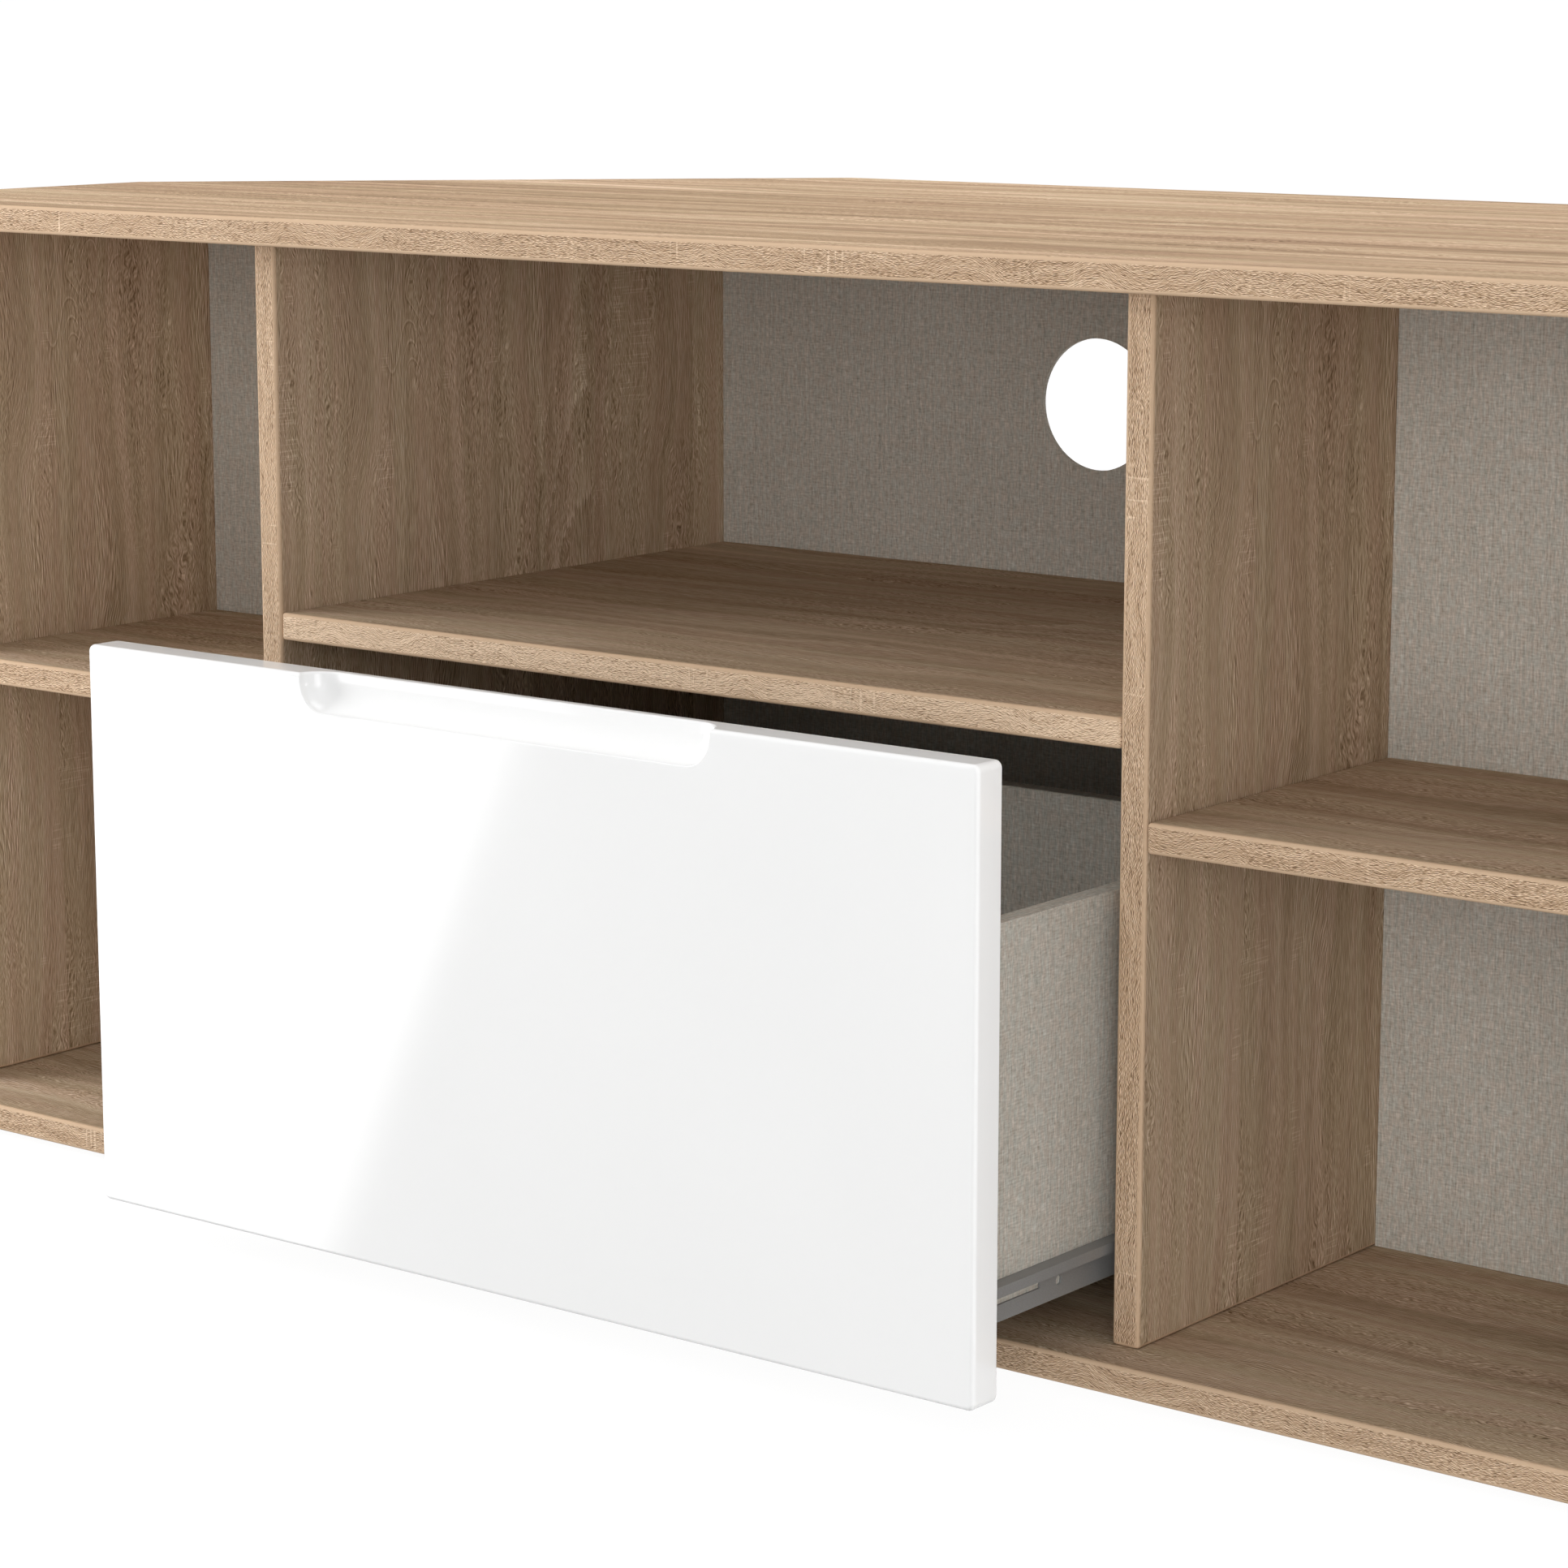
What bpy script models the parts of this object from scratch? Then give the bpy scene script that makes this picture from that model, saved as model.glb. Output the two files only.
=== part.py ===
"""A corner media cabinet with an open niche, two side bays and one drawer on roller runners.

Run with: blender --background --python part.py
Metres, +Z up, the front faces -Y. The origin is under the middle of the whole object's box, with
the drawer pulled out by OPEN_AT_REST.
"""

import math

import bmesh
import bpy
from mathutils import Matrix, Vector

# Boards
BOARD = 0.016
BACK_SHEET = 0.003
DRAWER_BOARD = 0.012
GAP = 0.0003  # clearance between pieces that touch
EASE = 0.002  # rounding of a banded edge
EASE_STEPS = 3

# Carcass. Depths are measured back from the front edges of the uprights.
TOP_WIDTH = 1.260
TOP_OVERHANG = 0.028
TOP_REAR = 0.552
END_OVERHANG = 0.032
CLIP_START = 0.219  # where the straight ends turn into the 45 degree clips
NICHE_WIDTH = 0.581
NICHE_DEPTH = 0.406
BAY_DEPTH = 0.234
UPRIGHT_REAR = 0.530
GLIDE_HEIGHT = 0.005
HEIGHT = 0.573
NICHE_FLOOR = 0.345
BAY_SHELF = 0.294
CABLE_HOLE = 0.080

# Drawer. Depths are measured from the same plane with the drawer shut.
FRONT_WIDTH = 0.6065
FRONT_HEIGHT = 0.318
FRONT_THICK = 0.020
FRONT_BOTTOM = 0.0033  # above the bottom panel
FRONT_GAP = 0.0015  # between the shut front and the uprights
FRONT_ROUND = 0.003
FRONT_ROUND_STEPS = 4
DRAWER_EASE = 0.0005
SIDE_CLEARANCE = 0.0128  # from each upright to the drawer side
SIDE_BOTTOM = 0.0323  # above the bottom panel
SIDE_HEIGHT = 0.200
DRAWER_REAR = 0.346
FLOOR_HEIGHT = 0.014  # of the drawer bottom, above the lower edge of the sides
GROOVE = 0.005
OPEN_AT_REST = 0.1175

# Finger recess in the top edge of the drawer front
RECESS_WIDTH = 0.280
RECESS_HEIGHT = 0.0204
RECESS_DEPTH = 0.014
RECESS_RADIUS = 0.017
RECESS_STEPS = 8
LEAST_RADIUS = 0.001

# Dowels, glides and cam locks
DOWEL_RADIUS = 0.004
DOWEL_LENGTH = 0.028
DOWEL_IN_UPRIGHT = 0.010
SIDE_SHELF_DOWELS = (0.040, 0.190)
CENTRE_SHELF_DOWELS = (0.045, 0.360)
CHAMFER = 0.001
GLIDE_RADIUS = 0.012
GLIDE_EDGE = 0.0015
NAIL_RADIUS = 0.00125
NAIL_LENGTH = 0.009
END_GLIDES = (0.045, 0.205)
DIVIDER_GLIDE = 0.490
CAM_RADIUS = 0.0072
CAM_THICK = 0.009
CAM_EDGE = 0.0005
CAM_SLOT_REACH = 0.0045
CAM_SLOT_WIDTH = 0.0018
CAM_SLOT_DEPTH = 0.003
CAM_AT = 0.024
CAM_INSET = 0.040  # from the lower and the upper edge of the drawer side

# Roller runners
SHEET = 0.0012
RAIL_TOP = 0.0521  # above the bottom panel
LIP_REACH = 0.0085
LIP_DROP = 0.0055
CHANNEL_REACH = 0.0107
CHANNEL_TOP = 0.0538
CHANNEL_LIP = 0.003
CABINET_RAIL_START = 0.018
CABINET_RAIL_LENGTH = 0.334
RAIL_SLOT = (0.024, 0.069)
RAIL_SLOT_WIDTH = 0.004
RAIL_SLOT_DROP = 0.007  # from the lip's lower edge to the slot's
RAIL_HOLE_AT = 0.0855
RAIL_HOLE_HEIGHT = 0.0398  # above the bottom panel
RAIL_HOLE_RADIUS = 0.0026
ROLLER_RADIUS = 0.009
ROLLER_WIDTH = 0.0043
ROLLER_CROWN = 0.0006
ROLLER_STAND_OFF = 0.001
AXLE_RADIUS = 0.002
AXLE_CHAMFER = 0.0002
RUNNING_CLEARANCE = 0.0001
FRONT_ROLLER_AT = 0.030
REAR_ROLLER_AT = 0.335
RAIL_SCREWS = (0.053, 0.261)
DRAWER_SCREWS = (0.017, 0.241)
SCREW_HEAD_RADIUS = 0.003
SCREW_HEAD_THICK = 0.001
SCREW_SHANK_RADIUS = 0.00175
SCREW_LENGTH = 0.010  # of the shank, point included
SCREW_POINT = 0.002
LEAD = 0.001  # how far a cutter starts outside the surface it enters
ROUND_SIDES = 32
SMALL_SIDES = 20

# Worked out from the sizes above
FLOOR_Z = GLIDE_HEIGHT + BOARD
CEILING_Z = HEIGHT - BOARD
NICHE_HALF = NICHE_WIDTH / 2
DIVIDER_OUTER = NICHE_HALF + BOARD
END_OUTER = TOP_WIDTH / 2 - END_OVERHANG
END_INNER = END_OUTER - BOARD
FRONT_REACH = FRONT_GAP + OPEN_AT_REST + FRONT_THICK
FRONT_PLANE_Y = (FRONT_REACH - TOP_REAR) / 2
DRAWER_OUTER = NICHE_HALF - SIDE_CLEARANCE
DRAWER_INNER = DRAWER_OUTER - DRAWER_BOARD
SIDE_Z = FLOOR_Z + SIDE_BOTTOM
SIDE_TOP_Z = SIDE_Z + SIDE_HEIGHT
DRAWER_FLOOR_Z = SIDE_Z + FLOOR_HEIGHT
DRAWER_START = GAP - FRONT_GAP
RAIL_TOP_Z = FLOOR_Z + RAIL_TOP
RAIL_HOLE_Z = FLOOR_Z + RAIL_HOLE_HEIGHT
ROLLER_Z = RAIL_TOP_Z - SHEET - GAP - ROLLER_RADIUS
WEB_INNER = DRAWER_OUTER + GAP
WEB_OUTER = WEB_INNER + SHEET
ROLLER_INNER = WEB_OUTER + ROLLER_STAND_OFF


# ---------------------------------------------------------------- scene and materials

def clear_scene():
    for obj in list(bpy.data.objects):
        bpy.data.objects.remove(obj, do_unlink=True)


def make_material(name, colour, roughness, metallic=0.0):
    material = bpy.data.materials.new(name)
    material.use_nodes = True
    shader = material.node_tree.nodes["Principled BSDF"]
    shader.inputs["Base Color"].default_value = (*colour, 1.0)
    shader.inputs["Roughness"].default_value = roughness
    shader.inputs["Metallic"].default_value = metallic
    return material


FINISHES = {
    "oak": ((0.47, 0.34, 0.23), 0.5, 0.0),
    "linen": ((0.27, 0.25, 0.22), 0.6, 0.0),
    "gloss": ((0.88, 0.88, 0.88), 0.08, 0.0),
    "rail": ((0.33, 0.33, 0.32), 0.45, 0.3),
    "nylon": ((0.82, 0.82, 0.80), 0.5, 0.0),
    "steel": ((0.55, 0.55, 0.56), 0.3, 1.0),
    "zinc": ((0.50, 0.50, 0.50), 0.4, 1.0),
    "beech": ((0.60, 0.43, 0.26), 0.6, 0.0),
    "glide": ((0.05, 0.04, 0.03), 0.5, 0.0),
}


def make_empty(name, location):
    empty = bpy.data.objects.new(name, None)
    empty.location = location
    bpy.context.scene.collection.objects.link(empty)
    return empty


def place(name, mesh, finish, parent, location=(0, 0, 0), rotation=None):
    """The mesh as an object under its parent, with a material of its own."""
    bmesh.ops.recalc_face_normals(mesh, faces=mesh.faces[:])
    data = bpy.data.meshes.new(name)
    mesh.to_mesh(data)
    mesh.free()
    obj = bpy.data.objects.new(name, data)
    obj.location = location
    if rotation is not None:
        obj.rotation_euler = rotation
    obj.parent = parent
    if finish:
        data.materials.append(make_material(name, *FINISHES[finish]))
    else:
        obj.hide_render = True
        obj.display_type = "WIRE"
    bpy.context.scene.collection.objects.link(obj)
    return obj


# ---------------------------------------------------------------- shapes

def box_mesh(x, y, z):
    """A box about its own middle, and where that middle goes."""
    size = Vector((x[1] - x[0], y[1] - y[0], z[1] - z[0]))
    middle = Vector((x[0] + x[1], y[0] + y[1], z[0] + z[1])) / 2
    mesh = bmesh.new()
    bmesh.ops.create_cube(mesh, size=1.0, matrix=Matrix.Diagonal((*size, 1.0)))
    return mesh, middle


def add_board(name, finish, parent, x, y, z, ease=EASE, segments=EASE_STEPS):
    mesh, middle = box_mesh(x, y, z)
    board = place(name, mesh, finish, parent, middle)
    if ease:
        round_edges(board, ease, segments)
    return board


def round_edges(obj, width, segments):
    bevel = obj.modifiers.new("eased edges", "BEVEL")
    bevel.width = width
    bevel.segments = segments
    bevel.limit_method = "ANGLE"


def prism_mesh(outline, low, high, axis):
    """The outline, two coordinates a point, stretched from low to high along axis 1 (Y) or 2 (Z)."""
    mesh = bmesh.new()
    rings = []
    for level in (low, high):
        corners = [(a, level, b) if axis == 1 else (a, b, level) for a, b in outline]
        rings.append([mesh.verts.new(corner) for corner in corners])
    for ring in rings:
        mesh.faces.new(ring)
    stitch(mesh, *rings)
    return mesh


def stitch(mesh, ring, other):
    """Faces between two closed rings of the same length, either of which may be a single point."""
    count = max(len(ring), len(other))
    for i in range(count):
        j = (i + 1) % count
        near = [ring[i % len(ring)], ring[j % len(ring)]]
        far = [other[j % len(other)], other[i % len(other)]]
        unique = list(dict.fromkeys(near + far))
        if len(unique) > 2:
            mesh.faces.new(unique)


def turned_mesh(profile, sides, closed=False):
    """A profile of (radius, distance along Z) turned about Z. A closed one is a ring's section."""
    mesh = bmesh.new()
    rings = []
    for radius, along in profile:
        count = sides if radius > 0 else 1
        turns = [2 * math.pi * (i + 0.5) / sides for i in range(count)]
        ring = [mesh.verts.new((radius * math.cos(t), radius * math.sin(t), along)) for t in turns]
        rings.append(ring)
    for ring, other in zip(rings, rings[1:]):
        stitch(mesh, ring, other)
    if closed:
        stitch(mesh, rings[-1], rings[0])
    return mesh


def rod_profile(radius, length, chamfer=0.0):
    """A rod that starts at its origin, with an optional chamfer at both ends."""
    if not chamfer:
        return [(0, 0), (radius, 0), (radius, length), (0, length)]
    inset = radius - chamfer
    return [(0, 0), (inset, 0), (radius, chamfer),
            (radius, length - chamfer), (inset, length), (0, length)]


def pointing(direction):
    """The rotation that turns +Z to the given direction."""
    return Vector(direction).to_track_quat("Z", "Y").to_euler()


# ---------------------------------------------------------------- cuts

def cut(target, cutter):
    boolean = target.modifiers.new(cutter.name, "BOOLEAN")
    boolean.operation = "DIFFERENCE"
    boolean.solver = "EXACT"
    boolean.object = cutter


def cut_box(target, name, parent, x, y, z):
    mesh, middle = box_mesh(x, y, z)
    cut(target, place(name, mesh, None, parent, middle))


def drill(target, name, parent, start, direction, radius, depth, lead=LEAD):
    """A round hole into the target from start. The cutter begins a lead outside the surface."""
    way = Vector(direction).normalized()
    mesh = turned_mesh(rod_profile(radius, depth + lead), SMALL_SIDES)
    cut(target, place(name, mesh, None, parent, Vector(start) - way * lead, pointing(way)))


# ---------------------------------------------------------------- carcass

def corner_outline():
    """Plan of the top and bottom: straight front and ends, rear corners cut at 45 degrees."""
    half = TOP_WIDTH / 2
    rear_half = half - (TOP_REAR - CLIP_START)
    right_side = [(half, -TOP_OVERHANG), (half, CLIP_START), (rear_half, TOP_REAR)]
    return right_side + [(-x, y) for x, y in reversed(right_side)]


def add_plate(name, parent, low, high):
    plate = place(name, prism_mesh(corner_outline(), low, high, axis=2), "oak", parent)
    round_edges(plate, EASE, EASE_STEPS)
    return plate


def add_upright(name, parent, side, inner, outer, depth):
    faces = sorted((side * inner, side * outer))
    return add_board(name, "oak", parent, faces, (0, depth), (FLOOR_Z + GAP, CEILING_Z - GAP))


def add_dowels(shelf, shelf_name, uprights, parent, faces, depths, height):
    """Beech dowels across each end of a shelf, in blind holes in the shelf and in the upright."""
    number = 0
    for upright, (face, outward) in zip(uprights, faces):
        for depth in depths:
            number += 1
            start = Vector((face + outward * DOWEL_IN_UPRIGHT, depth, height))
            inward = (-outward, 0, 0)
            name = f"{shelf_name}_dowel_{number}"
            mesh = turned_mesh(rod_profile(DOWEL_RADIUS, DOWEL_LENGTH, CHAMFER), SMALL_SIDES)
            place(name, mesh, "beech", parent, start, pointing(inward))
            drill(upright, name + "_bore", parent, (face, depth, height), (outward, 0, 0),
                  DOWEL_RADIUS + GAP, DOWEL_IN_UPRIGHT + GAP)
            drill(shelf, name + "_seat", parent, (face, depth, height), inward,
                  DOWEL_RADIUS + GAP, DOWEL_LENGTH - DOWEL_IN_UPRIGHT + GAP)


def add_shelf(name, parent, low_x, high_x, depth, top, uprights, dowel_depths):
    across = (low_x + GAP, high_x - GAP)
    shelf = add_board(name, "oak", parent, across, (0, depth), (top - BOARD, top))
    faces = ((low_x, -1), (high_x, 1))
    add_dowels(shelf, name, uprights, parent, faces, dowel_depths, top - BOARD / 2)


def add_back(name, parent, low_x, high_x, depth):
    return add_board(name, "linen", parent, (low_x + GAP, high_x - GAP), (depth, depth + BACK_SHEET),
                     (FLOOR_Z + GAP, CEILING_Z - GAP), ease=0)


def add_glides(bottom, parent):
    """Nailed glides under the uprights. Each nail goes up into the bottom panel."""
    top = GLIDE_HEIGHT - GAP
    profile = [(0, 0), (GLIDE_RADIUS - GLIDE_EDGE, 0), (GLIDE_RADIUS, GLIDE_EDGE), (GLIDE_RADIUS, top),
               (NAIL_RADIUS, top), (NAIL_RADIUS, top + NAIL_LENGTH), (0, top + NAIL_LENGTH + NAIL_RADIUS)]
    end_x = END_OUTER - BOARD / 2
    divider_x = DIVIDER_OUTER - BOARD / 2
    spots = [("end_front", end_x, END_GLIDES[0]), ("end_rear", end_x, END_GLIDES[1]),
             ("divider_rear", divider_x, DIVIDER_GLIDE)]
    for label, x, y in spots:
        for word, side in (("left", -1), ("right", 1)):
            name = f"{word}_{label}_glide"
            place(name, turned_mesh(profile, SMALL_SIDES), "glide", parent, (side * x, y, 0))
            drill(bottom, name + "_hole", parent, (side * x, y, GLIDE_HEIGHT), (0, 0, 1),
                  NAIL_RADIUS + GAP, NAIL_LENGTH + 2 * NAIL_RADIUS)


def add_cable_hole(back, parent):
    at = (0, NICHE_DEPTH - BACK_SHEET, (NICHE_FLOOR + CEILING_Z) / 2)
    mesh = turned_mesh(rod_profile(CABLE_HOLE / 2, 3 * BACK_SHEET), 2 * ROUND_SIDES)
    cut(back, place("cable_hole", mesh, None, parent, at, pointing((0, 1, 0))))


def build_carcass(parent):
    add_plate("top_panel", parent, CEILING_Z, HEIGHT)
    bottom = add_plate("bottom_panel", parent, GLIDE_HEIGHT, FLOOR_Z)
    add_glides(bottom, parent)
    dividers = {}
    for word, side in (("left", -1), ("right", 1)):
        end = add_upright(f"{word}_end_panel", parent, side, END_INNER, END_OUTER, BAY_DEPTH + BACK_SHEET)
        divider = add_upright(f"{word}_divider", parent, side, NICHE_HALF, DIVIDER_OUTER, UPRIGHT_REAR)
        dividers[side] = divider
        walls = sorted((side * DIVIDER_OUTER, side * END_INNER))
        uprights = (divider, end) if side > 0 else (end, divider)
        add_shelf(f"{word}_shelf", parent, *walls, BAY_DEPTH - GAP, BAY_SHELF, uprights, SIDE_SHELF_DOWELS)
        add_back(f"{word}_back", parent, *walls, BAY_DEPTH)
    add_shelf("centre_shelf", parent, -NICHE_HALF, NICHE_HALF, NICHE_DEPTH - GAP, NICHE_FLOOR,
              (dividers[-1], dividers[1]), CENTRE_SHELF_DOWELS)
    add_cable_hole(add_back("centre_back", parent, -NICHE_HALF, NICHE_HALF, NICHE_DEPTH), parent)
    return dividers


# ---------------------------------------------------------------- drawer

def recess_outline(inset):
    """The recess seen from the front, from its top left round to its top right."""
    half = RECESS_WIDTH / 2 - inset
    radius = max(RECESS_RADIUS - inset, LEAST_RADIUS)
    top = FLOOR_Z + FRONT_BOTTOM + FRONT_HEIGHT
    low = top - RECESS_HEIGHT + inset
    points = [(-half, top + FRONT_ROUND)]
    for middle, start in ((-half + radius, math.pi), (half - radius, 1.5 * math.pi)):
        for i in range(RECESS_STEPS + 1):
            turn = start + i * math.pi / 2 / RECESS_STEPS
            points.append((middle + radius * math.cos(turn), low + radius + radius * math.sin(turn)))
    points.append((half, top + FRONT_ROUND))
    return points


def recess_cutter(parent, face_y):
    """A scoop with a rounded floor: its outline shrinks along a quarter ellipse as it goes deeper."""
    mesh = bmesh.new()
    levels = [(0.0, -FRONT_ROUND)]
    for i in range(RECESS_STEPS + 1):
        turn = i * math.pi / 2 / RECESS_STEPS
        levels.append((RECESS_RADIUS * (1 - math.cos(turn)), RECESS_DEPTH * math.sin(turn)))
    rings = []
    for inset, depth in levels:
        corners = [(x, face_y + depth, z) for x, z in recess_outline(inset)]
        rings.append([mesh.verts.new(corner) for corner in corners])
    mesh.faces.new(rings[0])
    mesh.faces.new(rings[-1])
    for ring, other in zip(rings, rings[1:]):
        stitch(mesh, ring, other)
    return place("finger_recess", mesh, None, parent)


def add_drawer_front(parent):
    face_y = -FRONT_GAP - FRONT_THICK
    bottom = FLOOR_Z + FRONT_BOTTOM
    front = add_board("drawer_front", "gloss", parent, (-FRONT_WIDTH / 2, FRONT_WIDTH / 2),
                      (face_y, -FRONT_GAP), (bottom, bottom + FRONT_HEIGHT), FRONT_ROUND, FRONT_ROUND_STEPS)
    cut(front, recess_cutter(parent, face_y))
    reach = DRAWER_INNER + GROOVE + GAP
    cut_box(front, "front_groove", parent, (-reach, reach), (-FRONT_GAP - GROOVE - GAP, LEAD),
            (DRAWER_FLOOR_Z - GAP, DRAWER_FLOOR_Z + BACK_SHEET + GAP))


def add_cam_lock(name, drawer_side, parent, at, inward):
    """A cam in a blind hole in the drawer side, its cross slot facing the inside."""
    way = Vector(inward)
    mesh = turned_mesh(rod_profile(CAM_RADIUS, CAM_THICK, CAM_EDGE), ROUND_SIDES)
    cam = place(name, mesh, "zinc", parent, Vector(at) - way * CAM_THICK, pointing(way))
    x = sorted((at[0] - inward[0] * CAM_SLOT_DEPTH, at[0] + inward[0] * CAM_SLOT_DEPTH))
    half = CAM_SLOT_WIDTH / 2
    for word, half_y, half_z in (("level", CAM_SLOT_REACH, half), ("upright", half, CAM_SLOT_REACH)):
        cut_box(cam, f"{name}_{word}_slot", parent, x, (at[1] - half_y, at[1] + half_y),
                (at[2] - half_z, at[2] + half_z))
    drill(drawer_side, name + "_bore", parent, at, -way, CAM_RADIUS + GAP, CAM_THICK + GAP)


def add_drawer_side(word, side, parent):
    faces = sorted((side * DRAWER_INNER, side * DRAWER_OUTER))
    panel = add_board(f"drawer_{word}_side", "linen", parent, faces, (DRAWER_START, DRAWER_REAR),
                      (SIDE_Z, SIDE_TOP_Z), DRAWER_EASE, 1)
    groove = sorted((side * (DRAWER_INNER - LEAD), side * (DRAWER_INNER + GROOVE + GAP)))
    cut_box(panel, f"{word}_side_groove", parent, groove, (DRAWER_START - LEAD, DRAWER_REAR + LEAD),
            (DRAWER_FLOOR_Z - GAP, DRAWER_FLOOR_Z + BACK_SHEET + GAP))
    for label, height in (("lower", SIDE_Z + CAM_INSET), ("upper", SIDE_TOP_Z - CAM_INSET)):
        at = (side * DRAWER_INNER, CAM_AT, height)
        add_cam_lock(f"{word}_{label}_cam", panel, parent, at, (-side, 0, 0))
    return panel


def build_drawer_box(parent):
    """Two sides and a back, with the floor held in grooves and running under the back."""
    sides = {side: add_drawer_side(word, side, parent) for word, side in (("left", -1), ("right", 1))}
    back_x = DRAWER_INNER - GAP
    back_y = (DRAWER_REAR - DRAWER_BOARD, DRAWER_REAR)
    back_z = (DRAWER_FLOOR_Z + BACK_SHEET + GAP, SIDE_TOP_Z)
    add_board("drawer_back", "linen", parent, (-back_x, back_x), back_y, back_z, DRAWER_EASE, 1)
    floor_x = DRAWER_INNER + GROOVE
    floor_y = (-FRONT_GAP - GROOVE, DRAWER_REAR)
    floor_z = (DRAWER_FLOOR_Z, DRAWER_FLOOR_Z + BACK_SHEET)
    add_board("drawer_bottom", "linen", parent, (-floor_x, floor_x), floor_y, floor_z, ease=0)
    return sides


# ---------------------------------------------------------------- runners

def sheet_outline(path, thickness):
    """A bent sheet's section. The thickness lies right of the path, or left of it if negative."""
    normals = []
    for start, end in zip(path, path[1:]):
        along = (Vector(end) - Vector(start)).normalized()
        normals.append(Vector((along.y, -along.x)))
    other = []
    for i, point in enumerate(path):
        around = normals[max(i - 1, 0):i + 1]
        other.append(Vector(point) + thickness * sum(around, Vector((0, 0))))
    return [tuple(point) for point in path] + [tuple(point) for point in reversed(other)]


def add_rail(name, parent, side, path, thickness, y):
    outline = [(side * x, z) for x, z in sheet_outline(path, thickness)]
    return place(name, prism_mesh(outline, *y, axis=1), "rail", parent)


def add_drawer_rail(word, side, parent):
    """Hooks under the drawer side. Its top flange and lip ride on the cabinet rail's roller."""
    lip = DRAWER_OUTER + LIP_REACH
    flange_z = SIDE_Z - GAP
    path = [(DRAWER_INNER, flange_z), (WEB_INNER, flange_z), (WEB_INNER, RAIL_TOP_Z),
            (lip, RAIL_TOP_Z), (lip, RAIL_TOP_Z - LIP_DROP)]
    rail = add_rail(f"{word}_drawer_rail", parent, side, path, SHEET, (DRAWER_START + GAP, DRAWER_REAR))
    across = sorted((side * (WEB_INNER - LEAD), side * (WEB_OUTER + LEAD)))
    slot_z = RAIL_TOP_Z - LIP_DROP - RAIL_SLOT_DROP
    cut_box(rail, f"{word}_rail_slot", parent, across, RAIL_SLOT, (slot_z, slot_z + RAIL_SLOT_WIDTH))
    drill(rail, f"{word}_rail_hole", parent, (side * WEB_INNER, RAIL_HOLE_AT, RAIL_HOLE_Z), (side, 0, 0),
          RAIL_HOLE_RADIUS, SHEET + LEAD)
    return rail


def add_cabinet_rail(word, side, parent):
    """A C-shaped channel on the upright that the drawer's rear roller runs in."""
    face = NICHE_HALF - GAP
    inner = NICHE_HALF - CHANNEL_REACH
    low = ROLLER_Z - ROLLER_RADIUS - GAP - SHEET
    high = FLOOR_Z + CHANNEL_TOP
    path = [(inner, low), (face, low), (face, high), (inner + CHANNEL_LIP, high)]
    y = (CABINET_RAIL_START, CABINET_RAIL_START + CABINET_RAIL_LENGTH)
    return add_rail(f"{word}_cabinet_rail", parent, side, path, -SHEET, y)


def add_roller(name, side, parent, y):
    """Its origin is the middle of its axle, so it turns about its own X axis."""
    bore = AXLE_RADIUS + RUNNING_CLEARANCE
    half = ROLLER_WIDTH / 2
    shoulder = ROLLER_RADIUS - ROLLER_CROWN
    profile = [(bore, -half), (shoulder, -half), (ROLLER_RADIUS, -half + ROLLER_CROWN),
               (ROLLER_RADIUS, half - ROLLER_CROWN), (shoulder, half), (bore, half)]
    mesh = turned_mesh(profile, ROUND_SIDES, closed=True)
    turn = Matrix.Rotation(math.pi / 2, 3, "Y")
    bmesh.ops.rotate(mesh, verts=mesh.verts[:], cent=(0, 0, 0), matrix=turn)
    place(name, mesh, "nylon", parent, (side * (ROLLER_INNER + half), y, ROLLER_Z))


def add_axle(name, side, parent, rail, y, x_from, x_to):
    """A pin riveted through the rail's web."""
    start = Vector((side * x_from, y, ROLLER_Z))
    outward = Vector((side, 0, 0))
    length = x_to - x_from
    mesh = turned_mesh(rod_profile(AXLE_RADIUS, length, AXLE_CHAMFER), ROUND_SIDES)
    place(name, mesh, "steel", parent, start, pointing(outward))
    drill(rail, name + "_hole", parent, start, outward, AXLE_RADIUS + GAP, length + LEAD)


def add_screw(name, parent, rail, wood, head_at, direction, head_thick, seat_radius):
    """A flat-headed screw. The head's outer face is at head_at, and the shank goes along direction."""
    shank_end = head_thick + SCREW_LENGTH
    profile = [(0, 0), (SCREW_HEAD_RADIUS, 0), (SCREW_HEAD_RADIUS, head_thick),
               (SCREW_SHANK_RADIUS, head_thick), (SCREW_SHANK_RADIUS, shank_end - SCREW_POINT),
               (0, shank_end)]
    place(name, turned_mesh(profile, SMALL_SIDES), "steel", parent, head_at, pointing(direction))
    drill(rail, name + "_rail_hole", parent, head_at, direction, seat_radius, head_thick + 2 * SHEET)
    drill(wood, name + "_pilot", parent, head_at, direction, SCREW_SHANK_RADIUS + GAP, shank_end + GAP)


def add_rail_screws(word, side, carcass, drawer, rails, woods):
    """The drawer rail's screws are sunk level with its web, and the cabinet rail's stand on its web."""
    sunk_x = side * WEB_OUTER
    raised_x = side * (NICHE_HALF - GAP - SHEET - GAP - SCREW_HEAD_THICK)
    for label, drawer_y, cabinet_y in zip(("front", "rear"), DRAWER_SCREWS, RAIL_SCREWS):
        add_screw(f"{word}_drawer_rail_{label}_screw", drawer, rails[0], woods[0],
                  (sunk_x, drawer_y, RAIL_HOLE_Z), (-side, 0, 0), SHEET, SCREW_HEAD_RADIUS + GAP)
        add_screw(f"{word}_cabinet_rail_{label}_screw", carcass, rails[1], woods[1],
                  (raised_x, cabinet_y, ROLLER_Z), (side, 0, 0), SCREW_HEAD_THICK, SCREW_SHANK_RADIUS + GAP)


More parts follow.
